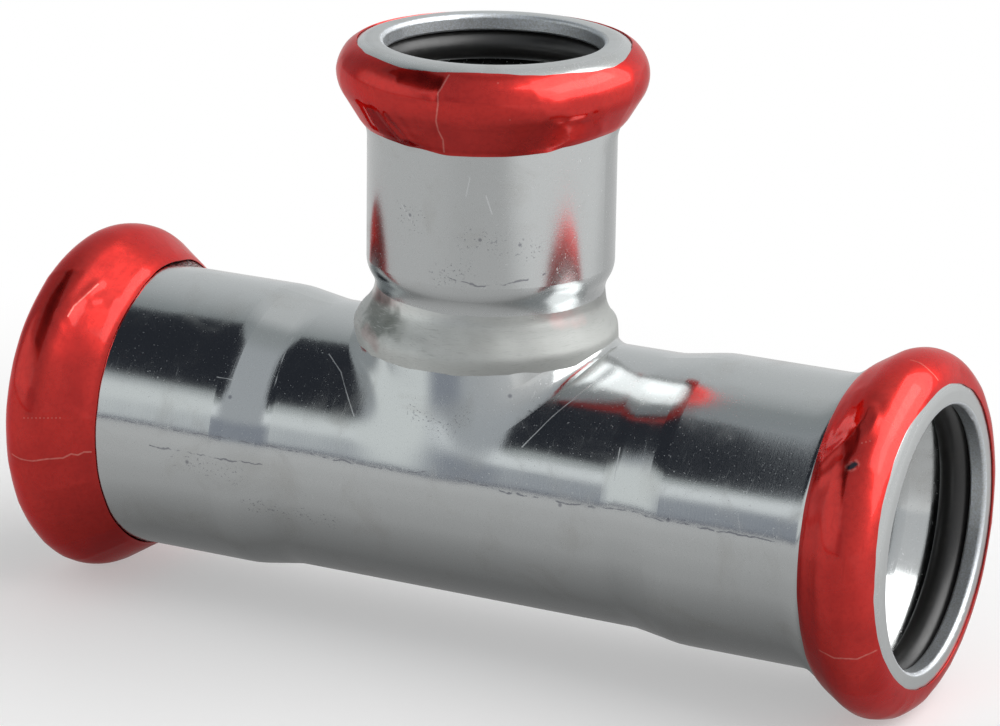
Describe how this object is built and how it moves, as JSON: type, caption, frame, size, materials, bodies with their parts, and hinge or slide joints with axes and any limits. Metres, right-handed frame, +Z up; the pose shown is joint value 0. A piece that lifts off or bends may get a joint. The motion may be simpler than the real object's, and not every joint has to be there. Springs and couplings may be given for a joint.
{
  "type": "reducing press tee",
  "caption": "Press tee with a straight run for equal pipes and a narrower upright branch, each mouth a round bead with a sealing ring and a peel-off film band.",
  "frame": {"origin": "where the axis of the run crosses the axis of the branch", "axes": "+X along the run towards its right mouth, +Z up the branch out of its mouth, +Y to the back"},
  "size_m": [0.0833, 0.0314, 0.0534],
  "materials": {
    "plated_steel": "bright zinc plating, lightly scratched",
    "weld": "matt, wire-brushed weld",
    "seal_rubber": "smooth black rubber",
    "red_film": "glossy shrunk film"
  },
  "bodies": {
    "root": {"run_body": "plated_steel", "branch_socket": "plated_steel", "weld_bead": "weld", "seal_left": "seal_rubber", "seal_right": "seal_rubber", "seal_branch": "seal_rubber", "film_left": "red_film", "film_right": "red_film", "film_branch": "red_film"}
  },
  "joints": []
}
